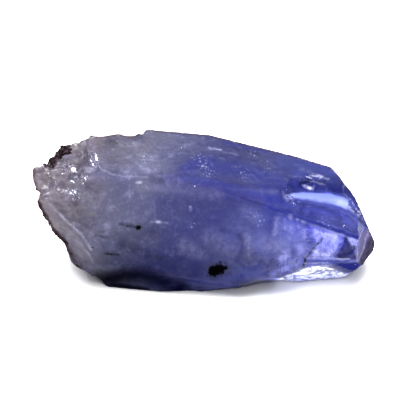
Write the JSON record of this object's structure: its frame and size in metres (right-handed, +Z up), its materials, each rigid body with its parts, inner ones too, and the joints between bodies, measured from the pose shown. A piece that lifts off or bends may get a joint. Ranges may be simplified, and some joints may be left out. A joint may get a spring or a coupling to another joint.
{
  "type": "tanzanite crystal",
  "caption": "Elongated violet-blue gem crystal lying on a side face: flat tapering prism faces, a stepped shoulder at the clear end and a broken, lumpy milky end.",
  "frame": {"origin": "on the surface the crystal rests on, under the middle of its bounding box", "axes": "+X along the crystal from the broken end to the clear end, +Y away from the viewer of the picture, +Z up"},
  "size_m": [0.0244, 0.0094, 0.0103],
  "materials": {
    "tanzanite": "clear to milky, lightly etched"
  },
  "bodies": {
    "root": {"tanzanite_crystal": "tanzanite"}
  },
  "joints": []
}
